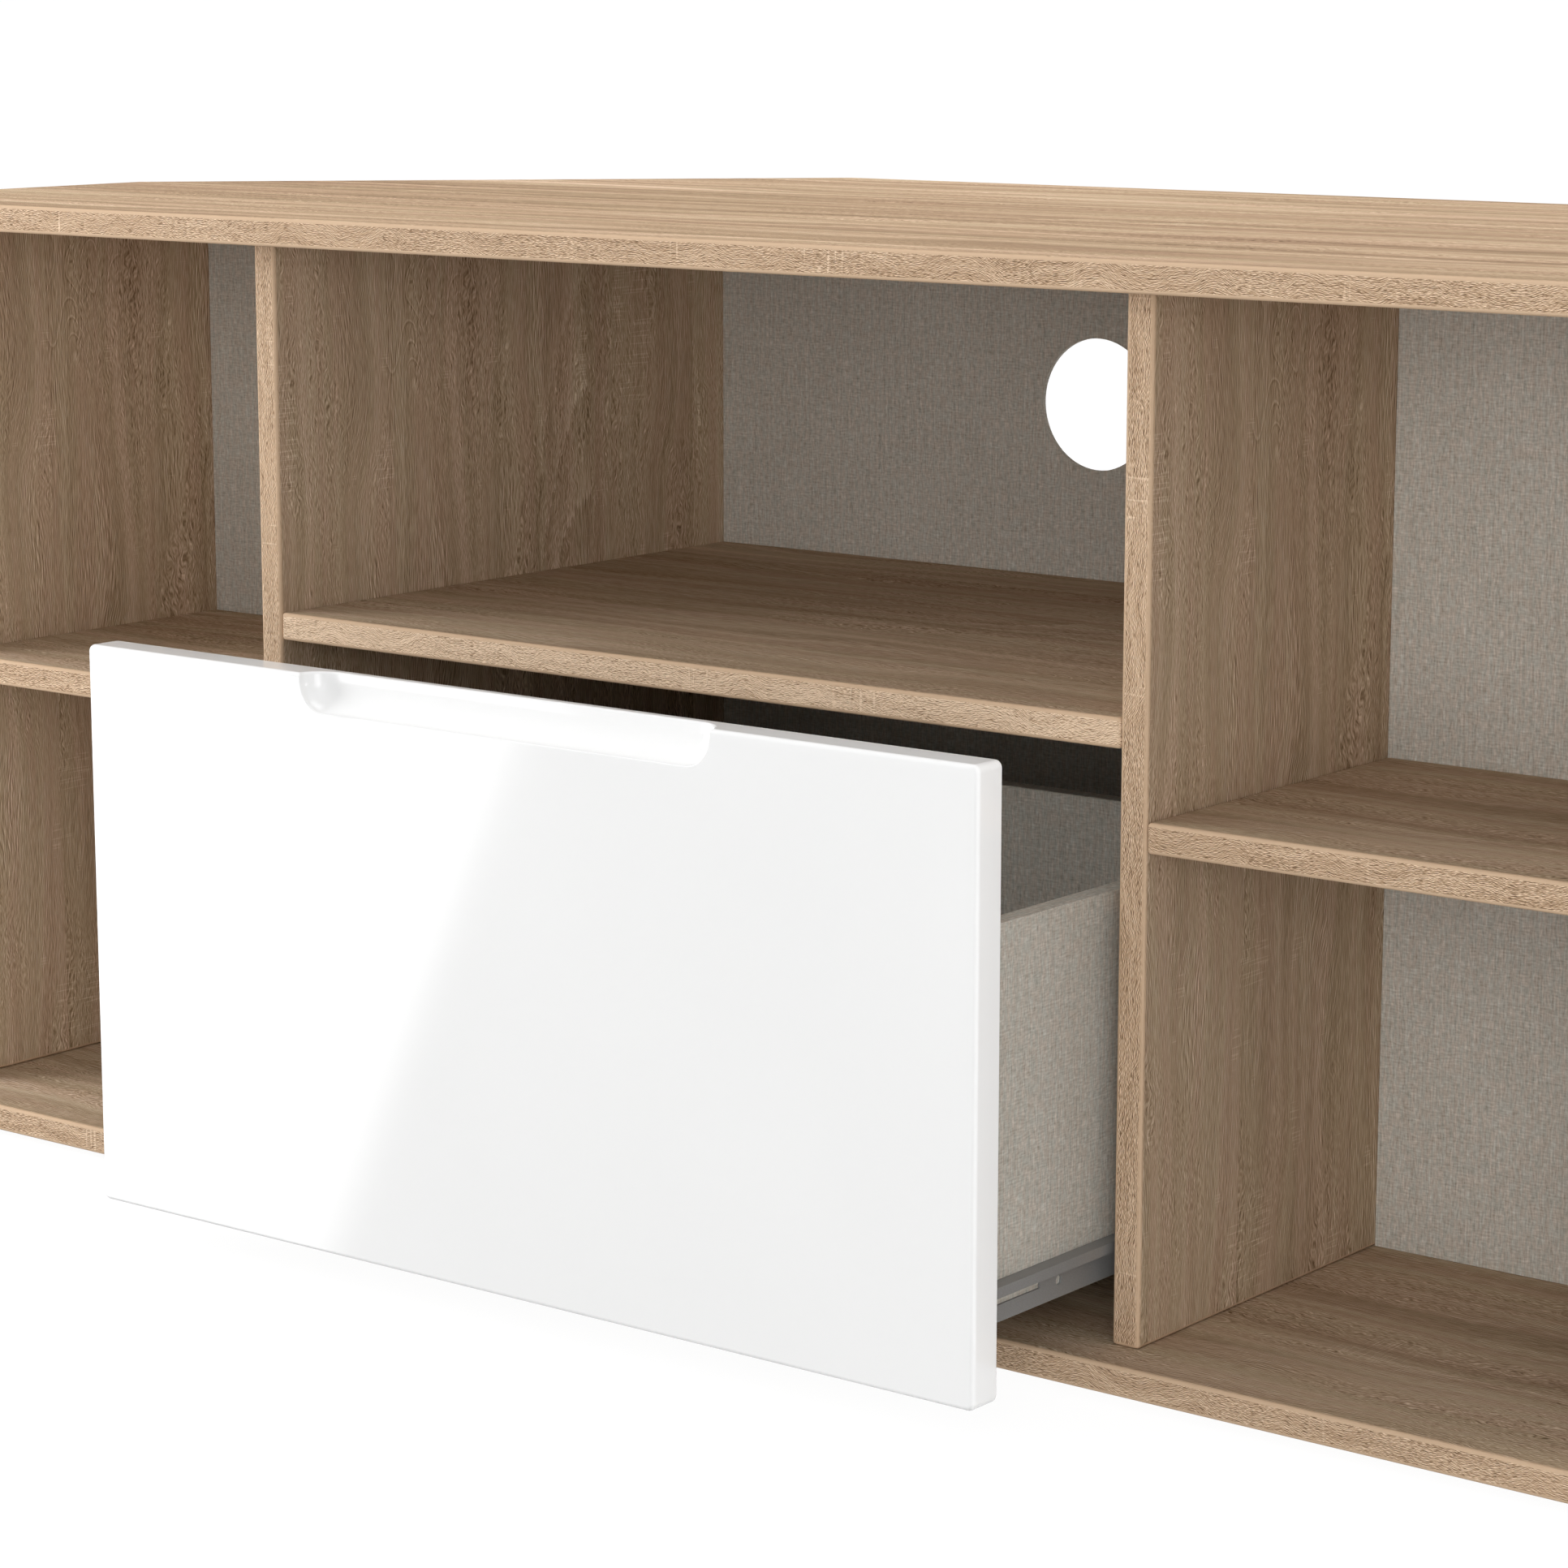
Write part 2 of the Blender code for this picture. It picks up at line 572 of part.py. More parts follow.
def build_runners(carcass, drawer, dividers, drawer_sides):
    for word, side in (("left", -1), ("right", 1)):
        drawer_rail = add_drawer_rail(word, side, drawer)
        cabinet_rail = add_cabinet_rail(word, side, carcass)
        add_roller(f"{word}_front_roller", side, carcass, FRONT_ROLLER_AT)
        add_roller(f"{word}_rear_roller", side, drawer, REAR_ROLLER_AT)
        add_axle(f"{word}_front_axle", side, carcass, cabinet_rail, FRONT_ROLLER_AT,
                 ROLLER_INNER, NICHE_HALF - GAP)
        add_axle(f"{word}_rear_axle", side, drawer, drawer_rail, REAR_ROLLER_AT,
                 WEB_INNER, ROLLER_INNER + ROLLER_WIDTH)
        add_rail_screws(word, side, carcass, drawer, (drawer_rail, cabinet_rail),
                        (drawer_sides[side], dividers[side]))


def main():
    clear_scene()
    carcass = make_empty("carcass", (0, FRONT_PLANE_Y, 0))
    drawer = make_empty("drawer_slide", (0, FRONT_PLANE_Y - OPEN_AT_REST, 0))
    dividers = build_carcass(carcass)
    add_drawer_front(drawer)
    drawer_sides = build_drawer_box(drawer)
    build_runners(carcass, drawer, dividers, drawer_sides)


main()
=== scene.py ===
"""Looks of the corner media cabinet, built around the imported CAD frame.

Metres, +Z up, the front faces -Y.
"""

import math

import bmesh
import bpy
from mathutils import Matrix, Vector


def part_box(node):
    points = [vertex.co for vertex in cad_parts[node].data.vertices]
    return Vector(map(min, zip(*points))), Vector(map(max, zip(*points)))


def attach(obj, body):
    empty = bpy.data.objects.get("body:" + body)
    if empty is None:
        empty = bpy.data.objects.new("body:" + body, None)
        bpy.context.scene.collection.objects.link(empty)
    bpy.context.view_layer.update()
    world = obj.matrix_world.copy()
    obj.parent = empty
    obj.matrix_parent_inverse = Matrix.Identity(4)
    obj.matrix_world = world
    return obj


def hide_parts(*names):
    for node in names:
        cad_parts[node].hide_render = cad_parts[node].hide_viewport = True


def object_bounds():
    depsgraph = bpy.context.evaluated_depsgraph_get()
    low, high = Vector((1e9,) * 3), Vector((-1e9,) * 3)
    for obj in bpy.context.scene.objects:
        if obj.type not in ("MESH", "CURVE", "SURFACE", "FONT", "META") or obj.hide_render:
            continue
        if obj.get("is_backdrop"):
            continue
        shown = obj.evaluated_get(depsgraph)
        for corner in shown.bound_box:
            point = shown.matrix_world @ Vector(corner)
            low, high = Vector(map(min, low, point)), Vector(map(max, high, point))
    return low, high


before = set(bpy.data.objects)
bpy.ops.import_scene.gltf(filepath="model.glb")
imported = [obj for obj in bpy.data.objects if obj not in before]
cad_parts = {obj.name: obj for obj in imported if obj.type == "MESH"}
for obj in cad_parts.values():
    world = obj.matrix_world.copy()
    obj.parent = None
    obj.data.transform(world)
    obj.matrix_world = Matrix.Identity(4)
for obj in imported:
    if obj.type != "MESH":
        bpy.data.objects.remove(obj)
cad_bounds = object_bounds()

# ---------------------------------------------------------------- camera, stage and light

CAMERA_AT = (1.4761, -1.9874, 0.7116)
CAMERA_AZIMUTH = 38.13
CAMERA_ELEVATION = 10.62
LENS_MM = 100.2
SENSOR_MM = 36.0
SEES_AS_FAR_AS = 1000.0
FLOOR_SIZE = 600.0
WALL_HEIGHT = 260.0
DOME_ABOVE = 0.66
DOME_BELOW = 0.42
HORIZON_BLUR = 0.05
FLOOR_GLOW = 0.95
CARD_CORNERS = ((-3.0, -3.5, 0.001), (0.3, -3.5, 0.001), (0.3, -0.36, 0.001), (-3.0, -0.36, 0.001))
CARD_ACROSS = (-0.788, 0.616)  # the card's bright part lies beyond a line across this direction
CARD_EDGE = -0.105
CARD_FADE = 0.02
CARD_GLOW = 3.8
SOFTBOXES = (  # name, place, aimed at, size, watts
    ("left_softbox", (-1.75, -1.05, 0.73), (0.0, -0.2, 0.4), (0.9, 0.9), 25.0),
    ("right_softbox", (1.45, -2.00, 0.45), (0.0, -0.2, 0.45), (1.0, 1.3), 15.0),
    ("front_softbox", (1.40, -3.40, 1.30), (0.0, 0.0, 0.3), (2.0, 2.0), 14.0),
    ("side_softbox", (3.00, 0.35, 0.55), (0.3, -0.34, 0.2), (1.0, 1.0), 27.0),
    ("top_softbox", (0.00, 0.45, 2.60), (0.0, 0.05, 0.6), (1.6, 1.6), 22.0),
)


def add_camera():
    data = bpy.data.cameras.new("camera")
    data.lens = LENS_MM
    data.sensor_width = SENSOR_MM
    data.clip_end = SEES_AS_FAR_AS
    camera = bpy.data.objects.new("camera", data)
    camera.location = CAMERA_AT
    camera.rotation_euler = (math.radians(90 - CAMERA_ELEVATION), 0, math.radians(CAMERA_AZIMUTH))
    bpy.context.scene.collection.objects.link(camera)
    bpy.context.scene.camera = camera


def add_stage_plane(name, corners, material):
    mesh = bpy.data.meshes.new(name)
    mesh.from_pydata(corners, [], [tuple(range(len(corners)))])
    plane = bpy.data.objects.new(name, mesh)
    mesh.materials.append(material)
    bpy.context.scene.collection.objects.link(plane)
    plane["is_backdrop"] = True
    return plane


def add_area_light(name, at, towards, size, power):
    data = bpy.data.lights.new(name, "AREA")
    data.shape = "RECTANGLE"
    data.size, data.size_y = size
    data.energy = power
    light = bpy.data.objects.new(name, data)
    light.location = at
    light.rotation_euler = (Vector(towards) - Vector(at)).to_track_quat("-Z", "Y").to_euler()
    bpy.context.scene.collection.objects.link(light)
    return light


def add_world():
    """An even white dome, dimmer below the horizon as if over a pale floor."""
    world = bpy.data.worlds.new("studio")
    world.use_nodes = True
    tree = world.node_tree
    direction = tree.nodes.new("ShaderNodeTexCoord").outputs["Generated"]
    height = tree.nodes.new("ShaderNodeSeparateXYZ")
    strength = tree.nodes.new("ShaderNodeMapRange")
    strength.inputs["From Min"].default_value = -HORIZON_BLUR
    strength.inputs["From Max"].default_value = HORIZON_BLUR
    strength.inputs["To Min"].default_value = DOME_BELOW
    strength.inputs["To Max"].default_value = DOME_ABOVE
    background = tree.nodes["Background"]
    background.inputs["Color"].default_value = (1.0, 1.0, 1.0, 1.0)
    tree.links.new(direction, height.inputs["Vector"])
    tree.links.new(height.outputs["Z"], strength.inputs["Value"])
    tree.links.new(strength.outputs["Result"], background.inputs["Strength"])
    bpy.context.scene.world = world


# ---------------------------------------------------------------- node graphs

MIX_INPUTS = (0, 6, 7)  # the colour sockets of a mix node: factor, first, second
MIX_RESULT = 2


class Shader:
    """A Principled material under construction. Inputs take sockets and plain values alike."""

    def __init__(self, name, roughness=0.5, metallic=0.0, **constants):
        self.material = bpy.data.materials.new(name)
        self.material.use_nodes = True
        self.tree = self.material.node_tree
        self.surface = self.tree.nodes["Principled BSDF"]
        self.set("Roughness", roughness)
        self.set("Metallic", metallic)
        for socket, value in constants.items():
            self.set(socket.replace("_", " "), value)
        coordinates = self.add("ShaderNodeTexCoord")
        self.place = coordinates.outputs["Object"]
        self.facing = coordinates.outputs["Normal"]

    def set(self, socket, value):
        self.feed(self.surface.inputs[socket], value)

    def feed(self, socket, value):
        if isinstance(value, bpy.types.NodeSocket):
            self.tree.links.new(value, socket)
        else:
            socket.default_value = value

    def add(self, kind, inputs=(), **settings):
        node = self.tree.nodes.new(kind)
        for key, value in settings.items():
            setattr(node, key, value)
        for key, value in dict(inputs).items():
            self.feed(node.inputs[key], value)
        return node

    def math(self, operation, *values):
        node = self.add("ShaderNodeMath", operation=operation)
        for socket, value in zip(node.inputs, values):
            self.feed(socket, value)
        return node.outputs[0]

    def sum(self, *values):
        total = values[0]
        for value in values[1:]:
            total = self.math("ADD", total, value)
        return total

    def times(self, *values):
        product = values[0]
        for value in values[1:]:
            product = self.math("MULTIPLY", product, value)
        return product

    def minus(self, a, b):
        return self.math("SUBTRACT", a, b)

    def swing(self, noise, share):
        """How far a noise is from its middle, scaled."""
        return self.times(self.minus(noise, 0.5), share)

    def split(self, vector):
        return self.add("ShaderNodeSeparateXYZ", {"Vector": vector}).outputs[:]

    def join(self, x, y, z=0.0):
        return self.add("ShaderNodeCombineXYZ", {"X": x, "Y": y, "Z": z}).outputs[0]

    def noise(self, x, y, detail=2.0, roughness=0.5, z=0.0):
        """Smooth noise about 0.5 at coordinates already in noise cells."""
        inputs = {"Vector": self.join(x, y, z), "Scale": 1.0, "Detail": detail, "Roughness": roughness}
        return self.add("ShaderNodeTexNoise", inputs).outputs["Fac"]

    def streaks(self, along, across, length, width, detail=1.0, seed=0.0):
        """Noise with cells of this length and width in millimetres."""
        cells = self.times(along, 1000.0 / length), self.times(across, 1000.0 / width)
        return self.noise(*cells, detail, 0.5, seed)

    def spot(self, along, across, middle, reach):
        """1 inside an ellipse with a soft rim, 0 outside."""
        sides = [self.times(self.minus(value, centre), 1 / size)
                 for value, centre, size in zip((along, across), middle, reach)]
        return self.fade(self.sum(*(self.times(side, side) for side in sides)), 1.0, 0.5)

    def chance(self, seed):
        """A number from 0 to 1 that changes at random with the seed."""
        return self.add("ShaderNodeTexWhiteNoise", {"W": seed}, noise_dimensions="1D").outputs["Value"]

    def fade(self, value, low, high, to_low=0.0, to_high=1.0):
        inputs = {"Value": value, "From Min": low, "From Max": high, "To Min": to_low, "To Max": to_high}
        return self.add("ShaderNodeMapRange", inputs, interpolation_type="SMOOTHSTEP").outputs["Result"]

    def ramp(self, value, stops):
        node = self.add("ShaderNodeValToRGB", {"Fac": value})
        elements = node.color_ramp.elements
        while len(elements) < len(stops):
            elements.new(1.0)
        for element, (position, colour) in zip(elements, stops):
            element.position = position
            element.color = (*colour, 1.0)
        return node.outputs["Color"]

    def between(self, factor, first, second):
        """From the first number to the second."""
        return self.sum(first, self.times(factor, self.minus(second, first)))

    def blend(self, factor, first, second, mode="MIX"):
        """Two colours mixed by the factor."""
        colours = ((*value, 1.0) if isinstance(value, tuple) else value for value in (first, second))
        inputs = dict(zip(MIX_INPUTS, (factor, *colours)))
        return self.add("ShaderNodeMix", inputs, data_type="RGBA", blend_type=mode).outputs[MIX_RESULT]

    def tinted(self, colour, tint):
        return self.blend(1.0, colour, tint, "MULTIPLY")

    def bump(self, height, distance, strength=1.0):
        inputs = {"Height": height, "Distance": distance, "Strength": strength}
        self.set("Normal", self.add("ShaderNodeBump", inputs).outputs["Normal"])


def give(material, *names):
    for name in names:
        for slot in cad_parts[name].material_slots:
            slot.material = material


# ---------------------------------------------------------------- oak print

OAK_STOPS = (
    (0.00, (0.165, 0.104, 0.060)),
    (0.25, (0.300, 0.202, 0.125)),
    (0.50, (0.470, 0.336, 0.222)),
    (0.75, (0.610, 0.462, 0.326)),
    (1.00, (0.830, 0.690, 0.530)),
)
# plain colour of the rounded edges, lighter than the print: a painted highlight on the rounding
OAK_BAND_AND_HIGHLIGHT = (0.590, 0.422, 0.285)
OAK_HUES = ((0.98, 1.00, 0.965), (1.015, 0.99, 0.985))
EDGE_CAST = (1.02, 0.965, 0.925)
# the cast is warmer on the lit top and cooler on the other boards: painted light that offsets the colour
# the light gives them
OAK_BOARDS = (  # material, upright or level, cast of the faces, belt contrast, edge lightness, boards
    ("oak_upright", True, (1.00, 1.025, 1.070), 0.20, 0.57,
     ("left_end_panel", "left_divider", "right_divider", "right_end_panel")),
    ("oak_top", False, (1.01, 0.965, 0.925), 0.95, 0.57, ("top_panel",)),
    ("oak_level", False, (1.00, 1.025, 1.070), 0.42, 0.57, ("bottom_panel", "left_shelf", "right_shelf")),
    ("oak_centre_shelf", False, (1.00, 1.030, 1.080), 0.42, 0.82, ("centre_shelf",)),
)
PLANK_EDGES = (0.092, 0.275, 0.375, 0.470)
PRINT_LENGTH = 0.64
LEVEL_START = 0.292
UPRIGHT_FRONT = 0.2065
LEVEL_FRONT = 0.2345
SIDE_SHIFT = 0.37  # keeps the left and right edge bands from matching
ARCH_PITCH = 0.066
ARCH_TOP = 0.455
ARCH_MIDDLE = 0.275
ARCH_BEND = 44.0
SWIRL_SPOT = ((0.545, 0.112), (0.095, 0.050))
SWIRL_RINGS = 11.0
SAW_SPOTS = (
    ((0.500, 0.316), (0.080, 0.022)),
    ((0.055, 0.106), (0.032, 0.024)),
    ((0.205, 0.104), (0.020, 0.016)),
    ((0.448, 0.006), (0.050, 0.012)),
)
PORE_SHADE = 0.0004  # how far beside a pore its lit wall lies
# how far beside a stroke its painted shade lies
STROKE_SHADE = 0.00032


def oak_arches(shader, along, local, across, course, on_plank):
    """Nested arches, shaded towards their feet, with a thin light outline."""
    jag = shader.swing(shader.streaks(along, across, 26, 1.3, 1, 2.0), 0.020)
    aside = shader.minus(course, ARCH_MIDDLE)
    height = shader.sum(local, shader.times(aside, aside, ARCH_BEND), jag)
    ring = shader.math("FRACT", shader.times(shader.minus(height, ARCH_TOP), 1 / ARCH_PITCH))
    where = shader.times(on_plank, shader.fade(across, 0.195, 0.235), shader.fade(local, 0.30, 0.35),
                         shader.fade(height, 0.60, 0.44, 0.25, 1.0))
    shade = shader.times(where, shader.minus(0.36, shader.math("POWER", ring, 1.3)))
    outline = shader.times(where, shader.fade(ring, 0.10, 0.02))
    return shader.sum(shader.times(shade, 0.17), shader.times(outline, 0.13))


def oak_swirl(shader, along, local, across, on_plank):
    """Rings round a knot: a light line beside a dark one."""
    field = shader.times(shader.streaks(along, across, 62, 30, 0, 21.0), SWIRL_RINGS)
    turn = shader.math("FRACT", field)
    light = shader.times(shader.fade(turn, 0.50, 0.56), shader.fade(turn, 0.68, 0.60))
    dark = shader.times(shader.fade(turn, 0.36, 0.44), shader.fade(turn, 0.52, 0.50), 0.7)
    where = shader.times(on_plank, shader.spot(local, across, *SWIRL_SPOT))
    return shader.times(where, shader.minus(light, dark), 0.18)


def oak_saw_marks(shader, along, local, across):
    """Fine light lines across the grain, in a few set places and some random ones."""
    rung = shader.streaks(along, across, 1.0, 26, 0, 4.0)
    scattered = shader.fade(shader.streaks(along, across, 45, 20, 1, 31.0), 0.63, 0.72)
    sawn = shader.sum(scattered, *(shader.spot(local, across, *spot) for spot in SAW_SPOTS))
    return shader.times(sawn, shader.fade(rung, 0.60, 0.68), 0.15)


def oak_face(shader, along, across, belts):
    """Lightness, hue and height of the printed faces: planks with pores, arches, swirls and saw marks, and
    painted light and shade on the pore walls.
    """
    plank = shader.sum(*(shader.math("GREATER_THAN", across, edge) for edge in PLANK_EDGES))
    seed = shader.times(plank, 5.3)
    on_plank = shader.math("COMPARE", plank, 1.0, 0.1)
    local = shader.times(shader.math("FRACT", shader.times(along, 1 / PRINT_LENGTH)), PRINT_LENGTH)

    wander = shader.swing(shader.streaks(along, across, 170, 45, 1, seed), 0.034)
    ripple = shader.swing(shader.streaks(along, across, 20, 7, 1, seed), 0.007)
    lively = shader.fade(shader.streaks(along, across, 120, 50, 0, shader.sum(seed, 3.0)), 0.40, 0.60)
    course = shader.sum(across, wander, shader.times(ripple, lively))

    def grain(at):
        fine = shader.streaks(along, at, 9.0, 0.62, 1.5, seed)
        coarse = shader.streaks(along, at, 4.2, 1.0, 1, seed)
        return shader.between(lively, fine, coarse)

    pores = grain(course)
    # painted light and shade: each pore's noise minus the same noise a little aside, a lit wall beside a
    # dark one
    relief_light_and_shade = shader.minus(pores, grain(shader.sum(course, PORE_SHADE)))
    hue = shader.streaks(along, course, 240, 13, 1, shader.sum(seed, 8.0))
    lightness = shader.sum(
        0.51,
        shader.swing(shader.streaks(along, course, 350, 9, 3, seed), 0.46),
        shader.swing(shader.streaks(along, course, 700, 17, 1, shader.sum(seed, 12.0)), belts),
        shader.swing(shader.chance(seed), 0.15),
        shader.swing(pores, 0.72),
        shader.times(relief_light_and_shade, 1.15),
        oak_arches(shader, along, local, across, course, on_plank),
        oak_swirl(shader, along, local, across, on_plank),
        oak_saw_marks(shader, along, local, across),
    )
    return lightness, hue, pores


def oak_edge(shader, along, across, middle):
    """Lightness and height of the edge bands: short, crossing strokes with a deep relief, and painted
    light and shade along the strokes.
    """
    drift = shader.swing(shader.streaks(along, 0.0, 38, 10, 1, 1.0), 0.024)
    crossed = shader.fade(shader.streaks(along, 0.0, 90, 10, 0, 6.0), 0.44, 0.56)
    course = shader.sum(across, drift)
    counter = shader.minus(across, drift)
    strokes = shader.streaks(along, course, 2.6, 0.50, 1, 2.0)
    shaded = shader.streaks(along, shader.sum(course, STROKE_SHADE), 2.6, 0.50, 1, 2.0)
    others = shader.streaks(along, counter, 2.4, 0.60, 1, 3.0)
    gap_course = shader.between(crossed, course, counter)
    gaps = shader.fade(shader.streaks(along, gap_course, 5.0, 0.8, 0, 5.0), 0.36, 0.26)
    # painted light and shade: each stroke's lit side beside its shaded copy, plus the crossing strokes'
    # own printed tone
    relief_light_and_shade = shader.sum(shader.minus(strokes, shaded), shader.times(crossed, shader.swing(others, 0.6)))
    rung = shader.streaks(along, across, 2.2, 30, 0, 7.0)
    sawn = shader.fade(shader.streaks(along, 0.0, 50, 10, 0, 9.0), 0.60, 0.66)
    marks = shader.times(sawn, shader.fade(rung, 0.62, 0.68))
    lightness = shader.sum(
        middle,
        shader.swing(shader.streaks(along, course, 70, 4, 2, 8.0), 0.55),
        shader.times(relief_light_and_shade, 2.0),
        shader.times(gaps, -0.32),
        shader.times(marks, 0.25),
    )
    height = shader.sum(strokes, shader.times(crossed, others), shader.times(gaps, -0.8), marks)
    return lightness, height


def oak_material(name, upright, cast, belts, edge_middle):
    """Print along Z on an upright and along X on a level board, with plain rounded band edges, lightened
    as a painted highlight on the rounding.
    """
    shader = Shader(name, roughness=0.55, Specular_IOR_Level=0.03)
    x, y, z = shader.split(shader.place)
    nx, ny, nz = shader.split(shader.facing)
    depth = shader.sum(y, UPRIGHT_FRONT if upright else LEVEL_FRONT)
    if upright:
        face = (z, depth)
        edge = (shader.sum(z, shader.times(shader.math("SIGN", x), SIDE_SHIFT)), x)
        is_face = shader.fade(shader.math("ABSOLUTE", nx), 0.95, 0.99)
        is_edge = shader.fade(shader.math("ABSOLUTE", ny), 0.95, 0.99)
    else:
        face = (shader.sum(x, LEVEL_START), depth)
        edge = (shader.minus(shader.times(nx, y), shader.times(ny, x)), z)
        is_face = shader.fade(shader.math("ABSOLUTE", nz), 0.95, 0.99)
        is_edge = shader.fade(shader.math("ABSOLUTE", nz), 0.05, 0.01)
    face_light, hue, face_height = oak_face(shader, *face, belts)
    edge_light, edge_height = oak_edge(shader, *edge, edge_middle)
    light = shader.between(is_edge, face_light, edge_light)
    # the board's cast, warmer on the top and cooler on the others, is painted light offsetting how the
    # light colours them
    hues = [tuple(part * share for part, share in zip(colour, cast)) for colour in OAK_HUES]
    tint = shader.blend(is_face, EDGE_CAST, shader.blend(shader.fade(hue, 0.38, 0.62), *hues))
    printed = shader.tinted(shader.ramp(light, OAK_STOPS), tint)
    # the rounded edges take the plain band colour, which paints their highlight
    shader.set("Base Color", shader.blend(shader.math("MAXIMUM", is_face, is_edge), OAK_BAND_AND_HIGHLIGHT, printed))
    height = shader.sum(shader.times(is_face, face_height, 0.3), shader.times(is_edge, edge_height))
    shader.set("Roughness", shader.fade(height, 0.0, 1.0, 0.64, 0.50))
    shader.bump(height, 0.0007, 0.6)
    return shader.material


def finish_boards():
    for *settings, boards in OAK_BOARDS:
        give(oak_material(*settings), *boards)


# ---------------------------------------------------------------- linen print

LINEN_STOPS = (
    (0.00, (0.300, 0.268, 0.222)),
    (0.35, (0.445, 0.412, 0.358)),
    (0.60, (0.545, 0.512, 0.455)),
    (1.00, (0.730, 0.700, 0.650)),
)
ROSY_THREAD = (1.03, 0.99, 0.97)
COOL_THREAD = (0.97, 1.01, 1.02)
CLOTH_SHIFT = 1.7  # metres of cloth between one board and the next


def linen_material(name, shift):
    """A woven print: threads both ways, with slubs and flecks where they cross."""
    shader = Shader(name, roughness=0.62, Specular_IOR_Level=0.3)
    x, y, z = shader.split(shader.place)
    nx, _, nz = (shader.math("ABSOLUTE", part) for part in shader.split(shader.facing))
    u = shader.sum(shader.between(shader.fade(nx, 0.4, 0.6), x, y), shift)
    v = shader.between(shader.fade(nz, 0.4, 0.6), z, y)
    warp = shader.streaks(v, u, 4.5, 1.0, 1, 1.0)
    weft = shader.streaks(u, v, 4.5, 1.0, 1, 5.0)
    slub = shader.streaks(v, u, 40, 1.7, 1, 9.0)
    streak = shader.streaks(u, v, 40, 2.0, 1, 13.0)
    cloud = shader.streaks(u, v, 90, 90, 2)
    hue = shader.streaks(v, u, 9, 2.2, 1, 17.0)
    lightness = shader.sum(
        0.50,
        shader.swing(warp, 0.95),
        shader.swing(weft, 0.80),
        shader.swing(slub, 0.48),
        shader.swing(streak, 0.18),
        shader.swing(cloud, 0.12),
    )
    tint = shader.blend(shader.fade(hue, 0.38, 0.62), COOL_THREAD, ROSY_THREAD)
    shader.set("Base Color", shader.tinted(shader.ramp(lightness, LINEN_STOPS), tint))
    shader.set("Roughness", shader.fade(lightness, 0.3, 0.7, 0.68, 0.56))
    shader.bump(shader.sum(warp, weft), 0.0002, 0.25)
    return shader.material


def finish_linen():
    names = ("centre_back", "left_back", "right_back", "drawer_left_side", "drawer_right_side",
             "drawer_back", "drawer_bottom")
    for number, name in enumerate(names):
        give(linen_material(f"linen_{name}", CLOTH_SHIFT * number), name)


# ---------------------------------------------------------------- drawer front in gloss lacquer

EDGE_ROUND = 0.0025
LIP_ROUND = 0.0012
BACK_ROUND = 0.001
CORNER_ROUND = 0.004
CORNER_STEPS = 8
ROUND_STEPS = 8
RECESS_HALF = 0.140
RECESS_HEIGHT = 0.0204
RECESS_DEPTH = 0.014
RECESS_RADIUS = 0.0165
RECESS_EDGE = 0.0007
RECESS_EDGE_STEPS = 4
RECESS_STEPS = 20
PATH_STEPS = 20
BACK_STEPS = 3
GLOSS_STOPS = ((0.3, (0.832, 0.832, 0.830)), (0.7, (0.846, 0.846, 0.844)))


def recess_section():
    """Points from the face into the recess: (inset, depth, outward part, frontward part of the normal)."""
    points = []
    for i in range(RECESS_EDGE_STEPS):
        turn = math.pi / 2 * i / RECESS_EDGE_STEPS
        inset = RECESS_EDGE * (math.sin(turn) - 1)
        points.append((inset, RECESS_EDGE * (1 - math.cos(turn)), math.sin(turn), -math.cos(turn)))
    first = math.asin(RECESS_EDGE / RECESS_DEPTH)
    for i in range(RECESS_STEPS + 1):
        turn = first + (math.pi / 2 - first) * i / RECESS_STEPS
        normal = Vector((math.cos(turn) / RECESS_RADIUS, -math.sin(turn) / RECESS_DEPTH)).normalized()
        points.append((RECESS_RADIUS * (1 - math.cos(turn)), RECESS_DEPTH * math.sin(turn), *normal))
    return points


def front_rim(half_x, low, high, section):
    """The panel's rim, clockwise from the front: (x, z, depth, outer normal, front normal, rounding)."""
    rim = []

    def side(sign, points):
        for inset, depth, out, front in points:
            share = min(max(depth / RECESS_DEPTH, 0.0), 1.0)
            rounding = EDGE_ROUND + (LIP_ROUND - EDGE_ROUND) * share * share * (3 - 2 * share)
            x = sign * (RECESS_HALF - inset)
            rim.append((x, high, depth, (0, 1), (-sign * out, front), rounding))

    side(-1, section)
    side(1, reversed(section))
    corners = (
        (half_x, high, 90), (half_x, low, 0), (-half_x, low, -90), (-half_x, high, -180),
    )
    for x, z, start in corners:
        middle_x = x - math.copysign(CORNER_ROUND, x)
        middle_z = z + (CORNER_ROUND if z == low else -CORNER_ROUND)
        for i in range(CORNER_STEPS + 1):
            turn = math.radians(start - 90 * i / CORNER_STEPS)
            out = (math.cos(turn), math.sin(turn))
            at = (middle_x + CORNER_ROUND * out[0], middle_z + CORNER_ROUND * out[1])
            rim.append((*at, 0.0, out, (0, -1), EDGE_ROUND))
    return rim


def rim_arc(point, turn):
    """Where the rounding between the outer side and the front surface is, at an angle from the side."""
    x, z, depth, out, front, rounding = point
    top_x = x - rounding * front[0]
    top_depth = depth - rounding * front[1]
    by_the_recess = -EDGE_ROUND < abs(x) - RECESS_HALF < EDGE_ROUND + RECESS_EDGE
    if out == (0, 1) and by_the_recess and depth < EDGE_ROUND:
        top_x = math.copysign(max(abs(top_x), RECESS_HALF + rounding), x)
        top_depth = max(top_depth, rounding)
    fall = rounding * (1 - math.cos(turn))
    spread = math.sin(turn)
    return (
        top_x + (x - top_x) * spread - out[0] * fall,
        top_depth + (depth - top_depth) * spread,
        z - out[1] * fall,
    )


